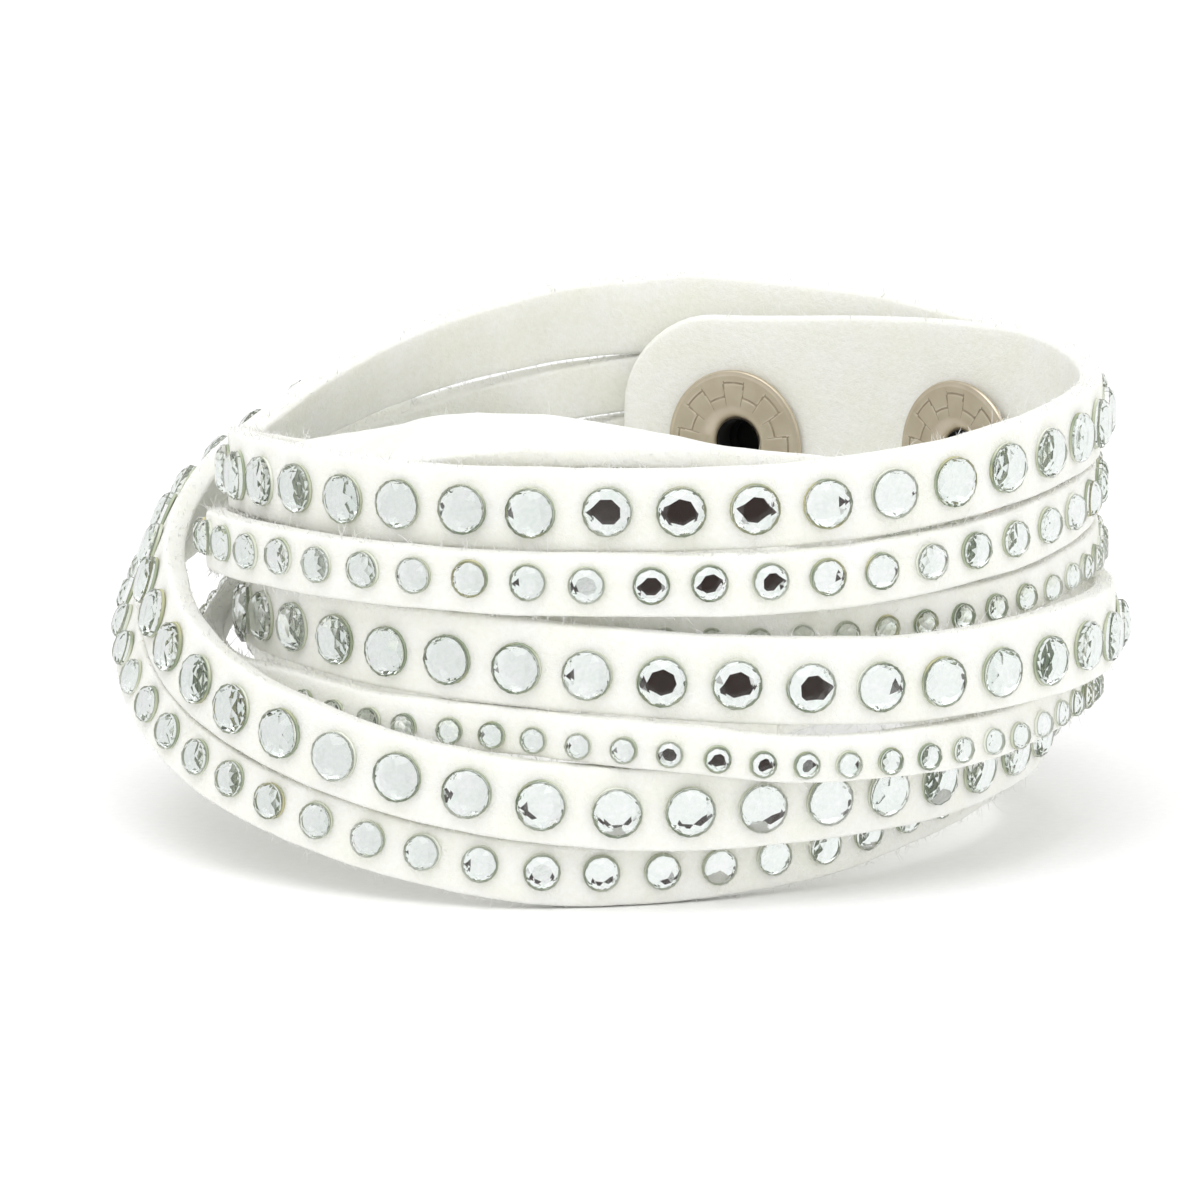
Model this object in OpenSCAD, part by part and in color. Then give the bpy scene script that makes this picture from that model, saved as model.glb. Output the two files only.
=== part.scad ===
// Wrap bracelet: one suede strap, slit lengthwise into four strands that carry rows of
// flat-back cut stones. The strap goes twice round the wrist, and its uncut ends are
// closed one over the other by two ring snaps.
// The wrist goes in along Z. Turn angles run clockwise, seen from above, from the tip of
// the inner end at the back: 90 is the right side, 180 the front and 270 the left side.

/* [Strap] */
// Thickness of the suede
strap_t = 1.4; // [1.2:0.1:1.4]
// Radius of the corners at both tips
tip_r = 6; // [4:0.5:8]
// Width of strand 1, the upper one
strand_1_w = 5.0; // [4.8:0.1:5]
// Width of strand 2
strand_2_w = 3.8; // [3.6:0.1:3.8]
// Width of strand 3
strand_3_w = 2.9; // [2.7:0.1:2.9]
// Width of strand 4, the lower one
strand_4_w = 5.3; // [5.1:0.1:5.3]
// Width that each slit takes away
slit_w = 0.12; // [0.1:0.01:0.16]

/* [Stones] */
// Diameter of the big stones, on strands 1 and 4
big_d = 3.0; // [2.6:0.1:3]
// Height of the big stones
big_h = 0.8; // [0.6:0.05:0.8]
// Spacing of the big stones along the strand
big_pitch = 4.52; // [4.5:0.02:5]
// Diameter of the medium stones, on strand 2
medium_d = 2.2; // [1.9:0.1:2.2]
// Height of the medium stones
medium_h = 0.7; // [0.5:0.05:0.7]
// Spacing of the medium stones along the strand
medium_pitch = 3.69; // [3.6:0.01:4.2]
// Number of sides of each stone
stone_sides = 8; // [8:1:10]

/* [Snaps] */
// Diameter of the eyelet's flange, on the wrist's side
flange_d = 9.5; // [8.5:0.5:9.5]
// Diameter of the open hole in the eyelet
bore_d = 2.8; // [2.4:0.1:3]
// Diameter of the domed cap on the outside
cap_d = 10; // [9:0.5:10]
// Diameter of the holes in the strap
strap_hole_d = 4.4; // [4.3:0.1:4.8]

/* [Hidden] */
$fn = 64;

// Where the routes' axis stands, so that the whole lies round the origin and on z = 0
wrist_axis = [0.49, -1.2, -0.03];

// Turn angles at which the slits start and end, and at which the outer end has its tip
cut_from = 78;
cut_to = 724;
end_a = 789;
// Angle between cross sections, a fiftieth of a turn so that both turns share them
step_a = 7.2;
// Cross sections round each tip's corners
tip_steps = 5;

widths = [strand_1_w, strand_2_w, strand_3_w, strand_4_w];
function sum_to(list, n) = n <= 0 ? 0 : list[n - 1] + sum_to(list, n - 1);
strap_w = sum_to(widths, 4);
// Height of each strand's middle above the strap's middle, where the strap is whole
offsets = [for (k = [0:3]) strap_w / 2 - sum_to(widths, k) - widths[k] / 2];

// The snaps, one row each. Columns: turn angle, bearing of the axis seen from above,
// distance of the inner end from the wrist's axis along that bearing, height
snaps = [
    [17.1, 62, 25.24, 19.35],
    [57.3, 45, 25.16, 20.35],
];
// The outer end lies this much further out than the inner end, middle to middle
lap = 3.0;

// A row of the strap's route where it lies flat under a snap: the radius of a straight
// line across the snap's bearing, at a turn angle
function flat_row(snap, a, z, out = 0) =
    [a, (snap[2] + out) / cos(90 - a - snap[1]), z, 0];

// Columns of all routes: turn angle, radius of the middle, height of the middle, and lean,
// the angle by which the top edge tips towards the wrist
inner_end = [
    [0, 27.7, 18.6, 0],
    flat_row(snaps[0], 7, 18.7),
    flat_row(snaps[0], 16.5, 18.9),
    flat_row(snaps[0], 26, 19.2),
    [36.5, 25.1, 19.6, 0],
    flat_row(snaps[1], 47, 19.95),
    flat_row(snaps[1], 56.5, 20.2),
    flat_row(snaps[1], 67.5, 20.25),
    [78, 28.1, 19.95, 0],
    [90, 28.3, 19.6, 0],
];
outer_end = [
    [712, 30.1, 20.7, 12],
    [724, 30.15, 20.85, 3],
    flat_row(snaps[0], 728.6 - 720, 20.95, lap) + [720, 0, 0, 0],
    flat_row(snaps[0], 738 - 720, 20.95, lap) + [720, 0, 0, 0],
    flat_row(snaps[0], 746 - 720, 20.85, lap) + [720, 0, 0, 0],
    [756.5, 28.1, 20.65, 0],
    flat_row(snaps[1], 767 - 720, 20.15, lap) + [720, 0, 0, 0],
    flat_row(snaps[1], 776.5 - 720, 19.8, lap) + [720, 0, 0, 0],
    flat_row(snaps[1], 787 - 720, 19.4, lap) + [720, 0, 0, 0],
    [791, 30.8, 19.3, 0],
];

// Strand 1, from under the tab's level at the right, over the front as the top row, down
// inside the left and back, and round again as the fourth row
route_1 = [
    [92, 28.55, 25.6, 0], [110, 28.3, 25.3, 0], [130, 27.65, 24.65, 0],
    [155, 26.45, 23.85, 0], [180, 25.5, 23.65, 0], [210, 24.85, 23.35, 0],
    [240, 24.15, 23, 0], [262, 23.8, 22.3, 0], [285, 23.4, 20.5, 0],
    [306, 23.1, 18.6, 0], [320, 22.9, 16.7, 0], [335, 22.7, 14.4, 0],
    [350, 22.5, 12.6, 0], [360, 22.4, 12.0, 0], [380, 22.3, 11.1, 0],
    [400, 22.4, 10.2, 0], [420, 23.5, 9.2, 0], [445, 25.3, 8.0, 0],
    [465, 25.6, 6.9, 0], [486, 25.7, 6.25, -3], [512, 27, 6.1, -3],
    [530, 27.7, 6.05, -1], [545, 28.35, 6.35, 0], [556, 28.7, 6.88, 2],
    [572, 29.2, 8.2, 4], [600, 29.05, 11.25, 12], [636, 28.45, 16.6, 24],
    [665, 28.5, 20.5, 28], [690, 28.9, 24.1, 18], [710, 29.3, 26.2, 10],
];
// Strand 2, the second row and then the lowest one, which swings out at the left
route_2 = [
    [92, 28.25, 21.15, 0], [110, 28.35, 20.8, 0], [135, 27.75, 19.9, 0],
    [155, 27.35, 19.4, 0], [180, 27.1, 19.4, 0], [210, 26.85, 19.35, 0],
    [240, 26.2, 19.0, 0], [255, 25.7, 18.45, 0], [270, 24.8, 17.3, 0],
    [285, 24.7, 15.85, 0], [310, 24.3, 13.55, 0], [335, 23.0, 9.95, 0],
    [350, 22.7, 8.1, 0], [360, 22.6, 7.45, 0], [390, 22.6, 6.0, 0],
    [420, 23.2, 4.3, 0], [445, 23.1, 4.1, 0], [465, 23.0, 4.3, 0],
    [486, 22.95, 3.65, -3], [500, 23.45, 3.05, -3], [512, 24.25, 2.55, -3],
    [530, 25.6, 2.05, -2], [545, 27.1, 1.95, 0], [556, 28.15, 2.45, 2],
    [572, 28.9, 3.65, 4], [600, 29.8, 6.85, 12], [636, 30.35, 12.5, 24],
    [665, 30.7, 16.4, 30], [690, 31.0, 19.3, 24], [710, 30.4, 21.4, 12],
];
// Strand 3, half hidden under the third row, then the row of small stones
route_3 = [
    [92, 28.4, 17.6, 0], [110, 28.2, 17.25, 0], [125, 27.6, 16.65, 0],
    [145, 26.2, 16.2, 0], [180, 24.8, 16.1, 0], [205, 23.2, 16.6, 0],
    [225, 22.6, 18.2, 0], [243, 22.2, 18.85, 0], [262, 22.2, 18.2, 0],
    [285, 22.4, 14.8, 0], [300, 22.55, 11.9, 0], [310, 23.2, 10.1, 0],
    [322, 25.05, 8.4, 0], [335, 25.6, 8.2, 0], [360, 25.5, 8.4, 0],
    [390, 25.7, 8.4, 0], [420, 26.8, 8.3, 0], [445, 27.97, 8.6, 0],
    [468, 28.4, 9.4, 0], [500, 29.4, 8.85, 0], [520, 29.35, 9.1, 0],
    [532, 29.15, 9.9, 0], [544, 27.95, 10.3, 0], [556, 26.95, 10.55, 2],
    [572, 26.75, 10.65, 4], [590, 26.1, 10.95, 6], [610, 25.75, 10.5, 8],
    [640, 25.9, 11.1, 14], [660, 27.3, 12.3, 20], [685, 29.8, 14.6, 24],
    [710, 31.5, 17.6, 16],
];
// Strand 4, the third row, which runs lowest at the back, then twists flat over the top
// row's edge at the front and crosses out over strand 1 at the back
route_4 = [
    [92, 28.8, 13.3, 0], [102, 29.9, 13.3, 0], [118, 30.15, 13.35, 0],
    [145, 29.05, 13.2, 0], [165, 27.95, 13.75, 0], [190, 26.75, 14.5, 0],
    [215, 25.4, 14.8, 0], [240, 24.05, 14.9, 0], [262, 22.8, 13.9, 0],
    [285, 22.5, 10.4, 0], [310, 22.3, 5.6, 0], [332, 22.3, 2.85, 0],
    [348, 22.2, 2.7, 0], [364, 21.2, 2.7, 0], [380, 20.2, 2.9, 0],
    [398, 19.9, 5.2, 0], [425, 20.7, 9.8, 0], [450, 22.0, 14.4, 0], [475, 22.8, 18.3, -6],
    [498, 22.9, 22.1, -30], [512, 22.3, 24.6, -66], [527, 21.9, 26.15, -84],
    [545, 21.7, 26.9, -97], [560, 21.4, 26.8, -108], [577, 20.6, 25.75, -120],
    [592, 20.0, 24.3, -120], [604, 19.8, 22.9, -108], [622, 19.8, 21.3, -85],
    [645, 19.7, 20.6, -65], [668, 19.6, 20.3, -68], [686, 20.9, 20.3, -80],
    [700, 24.3, 19.8, -78], [712, 28.2, 17.2, -40],
];
routes = [route_1, route_2, route_3, route_4];

// Smooth cubic through a table's rows, with each row's slope from its two neighbours
function row_before(tab, a, i = 0) =
    i >= len(tab) - 2 || a < tab[i + 1][0] ? i : row_before(tab, a, i + 1);
function slope(tab, i) =
    let (lo = tab[max(i - 1, 0)], hi = tab[min(i + 1, len(tab) - 1)])
    (hi - lo) / (hi[0] - lo[0]);
function smooth(tab, a) =
    let (
        i = row_before(tab, a),
        gap = tab[i + 1][0] - tab[i][0],
        t = (a - tab[i][0]) / gap
    )
    (2 * t ^ 3 - 3 * t ^ 2 + 1) * tab[i] + (3 * t ^ 2 - 2 * t ^ 3) * tab[i + 1]
    + (t ^ 3 - 2 * t ^ 2 + t) * gap * slope(tab, i)
    + (t ^ 3 - t ^ 2) * gap * slope(tab, i + 1);

// A route's row, moved across the strap
function across(row, u) =
    [row[0], row[1] - u * sin(row[3]), row[2] + u * cos(row[3]), row[3]];
function end_table(a) = a < 400 ? inner_end : outer_end;
strand_tables = [for (k = [0:3]) concat(
    [for (row = inner_end) if (row[0] <= cut_from) across(row, offsets[k])],
    routes[k],
    [for (row = outer_end) if (row[0] >= cut_to) across(row, offsets[k])]
)];
function is_cut(a) = a > cut_from && a < cut_to;
function strand_row(k, a) =
    is_cut(a) ? smooth(strand_tables[k], a) : across(smooth(end_table(a), a), offsets[k]);
// A point beside a route: u upwards across the strap, v outwards through it
function place(row, u, v) =
    let (
        r = row[1] - u * sin(row[3]) + v * cos(row[3]),
        z = row[2] + u * cos(row[3]) + v * sin(row[3])
    )
    wrist_axis + [r * sin(row[0]), r * cos(row[0]), z];

// Cross sections. Whole ones have five columns, from the top edge to the bottom one, and
// cut ones have four strands of two columns
function column_u(j) = strap_w / 2 - sum_to(widths, j);
function tip_share(d) =
    let (in = tip_r - min(d, tip_r))
    (strap_w / 2 - tip_r + sqrt(tip_r ^ 2 - in ^ 2)) / (strap_w / 2);
// Distance from the nearer tip, along the strap
function from_tip(a) =
    (a < 400 ? a : end_a - a) * PI / 180 * smooth(end_table(a), a)[1];
function whole_section(a) =
    let (row = smooth(end_table(a), a), share = tip_share(from_tip(a)))
    [for (j = [0:4], v = [-1, 1]) place(row, column_u(j) * share, v * strap_t / 2)];
function cut_section(a) =
    [for (k = [0:3], e = [1, -1], v = [-1, 1])
        place(strand_row(k, a), e * (widths[k] - slit_w) / 2, v * strap_t / 2)];

tip_a = tip_r / inner_end[0][1] * 180 / PI;
tip_angles = [for (i = [0:tip_steps - 1]) tip_a * (1 - cos(90 * i / tip_steps))];
function steps_between(lo, hi) =
    [for (i = [ceil(lo / step_a):floor(hi / step_a)]) i * step_a];
inner_angles = concat(tip_angles, steps_between(tip_a, cut_from - 2), [cut_from]);
cut_angles = steps_between(cut_from + 2, cut_to - 2);
outer_angles = concat([cut_to], steps_between(cut_to + 2, end_a - tip_a),
    [for (i = [tip_steps - 1:-1:0]) end_a - tip_angles[i]]);

// Faces, as triangles. A wall joins two pairs of points on neighbouring sections
function wall(a, b, c, d) = [[a, b, c], [a, c, d]];
function joined(lists) = [for (list = lists) each list];
// Between two whole sections that start at points p and q
function whole_walls(p, q) = joined(concat(
    [for (j = [0:3]) wall(p + 2 * j, p + 2 * j + 2, q + 2 * j + 2, q + 2 * j)],
    [for (j = [0:3]) wall(p + 2 * j + 1, q + 2 * j + 1, q + 2 * j + 3, p + 2 * j + 3)],
    [wall(p, q, q + 1, p + 1), wall(p + 8, p + 9, q + 9, q + 8)]
));
// Round one strand, between its four corners p and q on two sections
function strand_walls(p, q) = joined([
    wall(p[0], p[2], q[2], q[0]), wall(p[1], q[1], q[3], p[3]),
    wall(p[0], q[0], q[1], p[1]), wall(p[2], p[3], q[3], q[2])
]);
function corners(first, k, per_strand) =
    [for (c = [0:3]) first + per_strand * k + c];

module strap() {
    n_in = len(inner_angles);
    n_cut = len(cut_angles);
    n_out = len(outer_angles);
    first_cut = 10 * n_in;
    first_out = first_cut + 16 * n_cut;
    points = concat(
        joined([for (a = inner_angles) whole_section(a)]),
        joined([for (a = cut_angles) cut_section(a)]),
        joined([for (a = outer_angles) whole_section(a)])
    );
    tip_in = joined([for (j = [0:3]) wall(2 * j, 2 * j + 1, 2 * j + 3, 2 * j + 2)]);
    last = len(points) - 10;
    tip_out = joined([for (j = [0:3])
        wall(last + 2 * j, last + 2 * j + 2, last + 2 * j + 3, last + 2 * j + 1)]);
    faces = concat(
        tip_in,
        joined([for (i = [0:n_in - 2]) whole_walls(10 * i, 10 * i + 10)]),
        joined([for (k = [0:3])
            strand_walls(corners(first_cut - 10, k, 2), corners(first_cut, k, 4))]),
        joined([for (i = [0:n_cut - 2], k = [0:3]) strand_walls(
            corners(first_cut + 16 * i, k, 4), corners(first_cut + 16 * i + 16, k, 4))]),
        joined([for (k = [0:3])
            strand_walls(corners(first_out - 16, k, 4), corners(first_out, k, 2))]),
        joined([for (i = [0:n_out - 2])
            whole_walls(first_out + 10 * i, first_out + 10 * i + 10)]),
        tip_out
    );
    color("#faf8f2") difference() {
        polyhedron(points, faces, convexity = 12);
        for (snap = snaps)
            on_snap(snap) translate([0, 0, -1.4]) cylinder(d = strap_hole_d, h = lap + 2.8);
    }
}

// Rows of stones
// Turn angle of each strand's first stone
stones_from = [83.6, 83.3, 84.4, 82.9];
stones_to = 720;
// Least gap between the suede and the flat back of a stone, for the glue
glue_gap = 0.1;
// Shares of a stone's height and radius at its girdle and its table
girdle_share = 0.35;
table_share = 0.6;

// Turn angles of the stones of a strand, evenly spaced along it
function stone_angles(k, pitch, a) =
    let (
        guess = a + pitch / 28 * 180 / PI,
        span = norm(place(strand_row(k, guess), 0, strap_t) - place(strand_row(k, a), 0, strap_t))
    )
    a > stones_to ? [] : concat([a], stone_angles(k, pitch, a + (guess - a) * pitch / span));
function unit(v) = v / norm(v);
// The rings of one stone: its back, its girdle and its table, turned by half a side. A
// stone stands off further where its strand twists or is hollow along its length
function stone_points(k, a, d, h, shift) =
    let (
        row = strand_row(k, a),
        before = strand_row(k, a - 2),
        after = strand_row(k, a + 2),
        up = unit(place(row, shift + 1, 0) - place(row, shift, 0)),
        travel = place(after, shift, 0) - place(before, shift, 0),
        out = unit(cross(up, unit(travel))),
        twist = abs(after[3] - before[3]) * PI / 180 / norm(travel),
        chord = (place(after, shift, 0) + place(before, shift, 0)) / 2 - place(row, shift, 0),
        hollow = max(0, chord * out) / (norm(travel) / 2) ^ 2,
        rise = glue_gap + (2.2 * twist + hollow) * (d / 2) ^ 2,
        seat = place(row, shift, strap_t / 2) + out * rise,
        side = cross(up, out),
        turn = 360 / stone_sides,
        rings = [[0, 1, 0], [girdle_share, 1, 0], [1, table_share, 0.5]]
    )
    [for (ring = rings, i = [0:stone_sides - 1])
        seat + out * ring[0] * h + ring[1] * d / 2
            * (side * cos(turn * (i + ring[2])) + up * sin(turn * (i + ring[2])))];
function stone_faces(p) =
    let (n = stone_sides)
    concat(
        [for (i = [1:n - 2]) [p, p + i, p + i + 1]],
        [for (i = [1:n - 2]) [p + 2 * n, p + 2 * n + i + 1, p + 2 * n + i]],
        joined([for (i = [0:n - 1])
            let (j = (i + 1) % n)
            concat(
                wall(p + i, p + n + i, p + n + j, p + j),
                [[p + n + i, p + 2 * n + i, p + n + j]],
                [[p + n + j, p + 2 * n + i, p + 2 * n + j]]
            )])
    );
module stone_row(k, pitch, d, h, shift) {
    angles = stone_angles(k, pitch, stones_from[k]);
    points = joined([for (a = angles) stone_points(k, a, d, h, shift)]);
    faces = joined([for (i = [0:len(angles) - 1]) stone_faces(3 * stone_sides * i)]);
    color("#dfe3e2") polyhedron(points, faces, convexity = 12);
}
module stones_upper() stone_row(0, big_pitch, big_d, big_h, 0);
module stones_second() stone_row(1, medium_pitch, medium_d, medium_h, 0.2);
module stones_lower() stone_row(3, big_pitch, big_d, big_h, -0.25);

// Snaps. Their profiles run along the axis from the inner end's middle, outwards
seat_gap = 0.1;
face = strap_t / 2 + seat_gap;
barrel_r = 1.95;
barrel_wall_gap = 0.1;

// Puts a snap's own Z axis on its place, pointing away from the wrist
module on_snap(snap) {
    r = snap[2] / cos(90 - snap[0] - snap[1]);
    translate(wrist_axis + [r * sin(snap[0]), r * cos(snap[0]), snap[3]])
        rotate([0, 90, snap[1]])
            children();
}
// Ring flange with a rolled lip round its open hole, and the barrel through the strap
module eyelet(snap) {
    color("#b0a598") on_snap(snap) rotate_extrude() polygon([
        [bore_d / 2, 1.0],
        [barrel_r, 1.0],
        [barrel_r, -face],
        [flange_d / 2 - 0.2, -face],
        [flange_d / 2, -face - 0.15],
        [flange_d / 2, -face - 0.3],
        [flange_d / 2 - 0.4, -face - 0.5],
        [2.4, -face - 0.45],
        [2.1, -face - 0.65],
        [1.7, -face - 0.7],
        [bore_d / 2, -face - 0.55],
    ]);
}
// Stud on the outer face of the inner end, with a hollow post
module stud(snap) {
    color("#b0a598") on_snap(snap) rotate_extrude() polygon([
        [barrel_r + barrel_wall_gap, face],
        [4.0, face],
        [4.0, 1.0],
        [3.8, 1.15],
        [2.35, 1.15],
        [2.2, 1.4],
        [2.4, 1.6],
        [2.2, 1.85],
        [1.3, 1.85],
        [1.3, 1.6],
        [1.75, 1.6],
        [1.75, 1.1],
        [barrel_r + barrel_wall_gap, 1.1],
    ]);
}
// Socket ring on the inner face of the outer end, round the stud's post
module socket(snap) {
    color("#b0a598") on_snap(snap) rotate_extrude() polygon([
        [2.55, 1.25],
        [4.3, 1.25],
        [4.5, 1.45],
        [4.5, lap - face],
        [barrel_r + barrel_wall_gap, lap - face],
        [barrel_r + barrel_wall_gap, 1.95],
        [2.55, 1.95],
    ]);
}
// Plain domed cap on the outer face, with its barrel through the strap
module cap(snap) {
    rim = lap + face + 0.3;
    dome_h = 0.7;
    dome_steps = 6;
    color("#b0a598") on_snap(snap) rotate_extrude() polygon(concat(
        [[0, 2.1], [barrel_r, 2.1], [barrel_r, lap + face],
            [cap_d / 2 - 0.2, lap + face], [cap_d / 2, lap + face + 0.15]],
        [for (i = [0:dome_steps]) let (t = 90 * i / dome_steps)
            [cap_d / 2 * cos(t), rim + dome_h * sin(t)]]
    ));
}
module snap_eyelet_1() eyelet(snaps[0]);
module snap_eyelet_2() eyelet(snaps[1]);
module snap_stud_1() stud(snaps[0]);
module snap_stud_2() stud(snaps[1]);
module snap_socket_1() socket(snaps[0]);
module snap_socket_2() socket(snaps[1]);
module snap_cap_1() cap(snaps[0]);
module snap_cap_2() cap(snaps[1]);

strap();
stones_upper();
stones_second();
stones_lower();
snap_eyelet_1();
snap_eyelet_2();
snap_stud_1();
snap_stud_2();
snap_socket_1();
snap_socket_2();
snap_cap_1();
snap_cap_2();
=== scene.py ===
# %% [markdown]
# # A suede wrap bracelet with rows of cut stones
# One strap of white faux suede goes twice round the wrist. It is slit lengthwise into four
# strands, each with its own row of foil-backed glass stones, and two ring snaps close it
# at the back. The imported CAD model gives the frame: every piece here lies where it says.

# %% The frame
import math

import bpy
import numpy as np
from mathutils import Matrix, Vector


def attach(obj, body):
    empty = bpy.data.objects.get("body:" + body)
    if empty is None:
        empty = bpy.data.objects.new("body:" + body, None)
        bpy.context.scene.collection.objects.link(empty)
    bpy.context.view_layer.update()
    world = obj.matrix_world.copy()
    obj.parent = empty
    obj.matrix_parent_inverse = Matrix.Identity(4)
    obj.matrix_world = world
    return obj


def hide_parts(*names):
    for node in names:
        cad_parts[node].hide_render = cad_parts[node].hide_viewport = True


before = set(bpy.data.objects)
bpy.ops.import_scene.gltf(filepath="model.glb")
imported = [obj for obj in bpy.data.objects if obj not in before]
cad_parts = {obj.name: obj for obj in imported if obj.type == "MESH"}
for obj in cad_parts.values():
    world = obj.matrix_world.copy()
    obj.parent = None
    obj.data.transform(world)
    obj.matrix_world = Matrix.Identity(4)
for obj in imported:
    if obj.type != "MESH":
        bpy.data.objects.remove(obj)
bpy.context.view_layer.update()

MM = 0.001

# %% [markdown]
# ## Materials as small graphs
# One function turns a hex colour to linear light, and one adds a node with its settings
# and its links, so that each material below reads as a short list of what it is made of.


# %% Colours and nodes
def linear(hex_colour):
    """sRGB hex to linear: each channel c becomes c/12.92, or ((c+0.055)/1.055)^2.4."""
    channels = [int(hex_colour[i:i + 2], 16) / 255 for i in (1, 3, 5)]
    curve = [c / 12.92 if c <= 0.04045 else ((c + 0.055) / 1.055) ** 2.4 for c in channels]
    return (*curve, 1.0)


def add(tree, kind, settings=None, stops=(), **inputs):
    """A node of a kind; settings are its own fields, stops its ramp's (place, hex) pairs.

    An input is a value, an output socket, or a node, which stands for its first output.
    """
    node = tree.nodes.new(kind)
    for name, value in (settings or {}).items():
        setattr(node, name, value)
    elements = node.color_ramp.elements if stops else ()
    while len(elements) < len(stops):
        elements.new(0.5)
    for element, (position, colour) in zip(elements, stops):
        element.position = position
        element.color = linear(colour)
    for name, value in inputs.items():
        key = int(name[1:]) if name[0] == "_" else name.replace("_", " ")
        value = value.outputs[0] if isinstance(value, bpy.types.Node) else value
        if isinstance(value, bpy.types.NodeSocket):
            tree.links.new(value, node.inputs[key])
        else:
            node.inputs[key].default_value = value
    return node


def new_material(name):
    """An empty material, its tree, and the socket that gives a point's place in metres."""
    material = bpy.data.materials.new(name)
    material.use_nodes = True
    tree = material.node_tree
    tree.nodes.clear()
    return material, tree, add(tree, "ShaderNodeTexCoord").outputs["Object"]


# %% [markdown]
# ## White faux suede
# Microfibre suede is a felt of very fine fibres whose face is sanded to a short nap. It
# has no shine at all, only a soft bright rim where the nap is seen from the side. The nap
# lies in small patches a few tenths of a millimetre wide that turn the light a little
# differently, and the cloth under it is faintly uneven over some millimetres.

# %% Suede material
PER_M = 1 / MM  # Object coordinates are in metres, so a scale per millimetre is times this


def suede():
    material, tree, place = new_material("white_microfibre_suede")
    # Nap patches, about 0.35 mm across, and broader ones of 3 mm
    nap = add(tree, "ShaderNodeTexNoise", Vector=place, Scale=PER_M / 0.35, Detail=4.0,
              Roughness=0.65)
    broad = add(tree, "ShaderNodeTexNoise", Vector=place, Scale=PER_M / 3.0, Detail=2.0)
    # Single fibres are a few hundredths of a millimetre; drawn at 0.12 mm so that they show
    fibre = add(tree, "ShaderNodeTexNoise", Vector=place, Scale=PER_M / 0.12, Detail=2.0,
                Distortion=1.2)
    tone = add(tree, "ShaderNodeValToRGB", Fac=nap,
               stops=[(0.25, "#f5f5ef"), (0.75, "#fdfdfa")])
    warmth = add(tree, "ShaderNodeValToRGB", Fac=broad,
                 stops=[(0.3, "#fbfbf6"), (0.7, "#fffffe")])
    colour = add(tree, "ShaderNodeMix", {"data_type": "RGBA", "blend_type": "MULTIPLY"},
                 _0=1.0, _6=tone, _7=warmth).outputs[2]
    relief = add(tree, "ShaderNodeMath", {"operation": "MULTIPLY_ADD"}, _0=fibre, _1=0.5,
                 _2=nap)
    bump = add(tree, "ShaderNodeBump", Strength=0.8, Distance=0.11 * MM, Height=relief)
    shader = add(tree, "ShaderNodeBsdfPrincipled", Base_Color=colour, Roughness=0.95,
                 IOR=1.45, Normal=bump, Specular_IOR_Level=0.15, Subsurface_Weight=0.4,
                 Subsurface_Radius=(1.0, 1.0, 0.95), Subsurface_Scale=1.2 * MM,
                 Sheen_Weight=0.15, Sheen_Roughness=0.5)
    add(tree, "ShaderNodeOutputMaterial", Surface=shader)
    return material


def suede_fibre():
    material, tree, place = new_material("loose_suede_fibre")
    spread = add(tree, "ShaderNodeTexNoise", Vector=place, Scale=PER_M / 2.0)
    colour = add(tree, "ShaderNodeValToRGB", Fac=spread,
                 stops=[(0.3, "#f3f3ef"), (0.7, "#fefefd")])
    shader = add(tree, "ShaderNodeBsdfPrincipled", Base_Color=colour, Roughness=0.9,
                 Specular_IOR_Level=0.1)
    add(tree, "ShaderNodeOutputMaterial", Surface=shader)
    return material


SUEDE = suede()
FIBRE = suede_fibre()
print("suede materials:", SUEDE.name, FIBRE.name)

# %% [markdown]
# ## Foil-backed glass and glue
# The stones are pressed glass with polished facets, silvered on their flat backs. The
# light goes in through the facets, comes back from the foil and leaves by another facet,
# so the glass is real glass here and only the back is metal. Seen from the side it is a
# little green. The glue under them has set hard, clear on one stone and yellow on another.


# %% Glass, foil and glue
def crystal():
    material, tree, place = new_material("pressed_crystal_glass")
    streak = add(tree, "ShaderNodeTexNoise", Vector=place, Scale=PER_M / 0.9, Detail=1.0)
    colour = add(tree, "ShaderNodeValToRGB", Fac=streak,
                 stops=[(0.3, "#f7fcf9"), (0.7, "#ffffff")])
    # A pressed facet is slightly wavy, over about a millimetre
    bump = add(tree, "ShaderNodeBump", Strength=0.12, Distance=0.04 * MM, Height=streak)
    shader = add(tree, "ShaderNodeBsdfPrincipled", Base_Color=colour, Roughness=0.0,
                 IOR=1.52, Normal=bump, Transmission_Weight=1.0)
    add(tree, "ShaderNodeOutputMaterial", Surface=shader)
    return material


def foil():
    material, tree, place = new_material("silver_foil_backing")
    grain = add(tree, "ShaderNodeTexNoise", Vector=place, Scale=PER_M / 0.25, Detail=3.0)
    colour = add(tree, "ShaderNodeValToRGB", Fac=grain,
                 stops=[(0.3, "#f4f8f6"), (0.7, "#fdfffe")])
    bump = add(tree, "ShaderNodeBump", Strength=0.04, Distance=0.01 * MM, Height=grain)
    shader = add(tree, "ShaderNodeBsdfPrincipled", Base_Color=colour, Metallic=1.0,
                 Roughness=0.06, Normal=bump)
    add(tree, "ShaderNodeOutputMaterial", Surface=shader)
    return material


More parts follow.
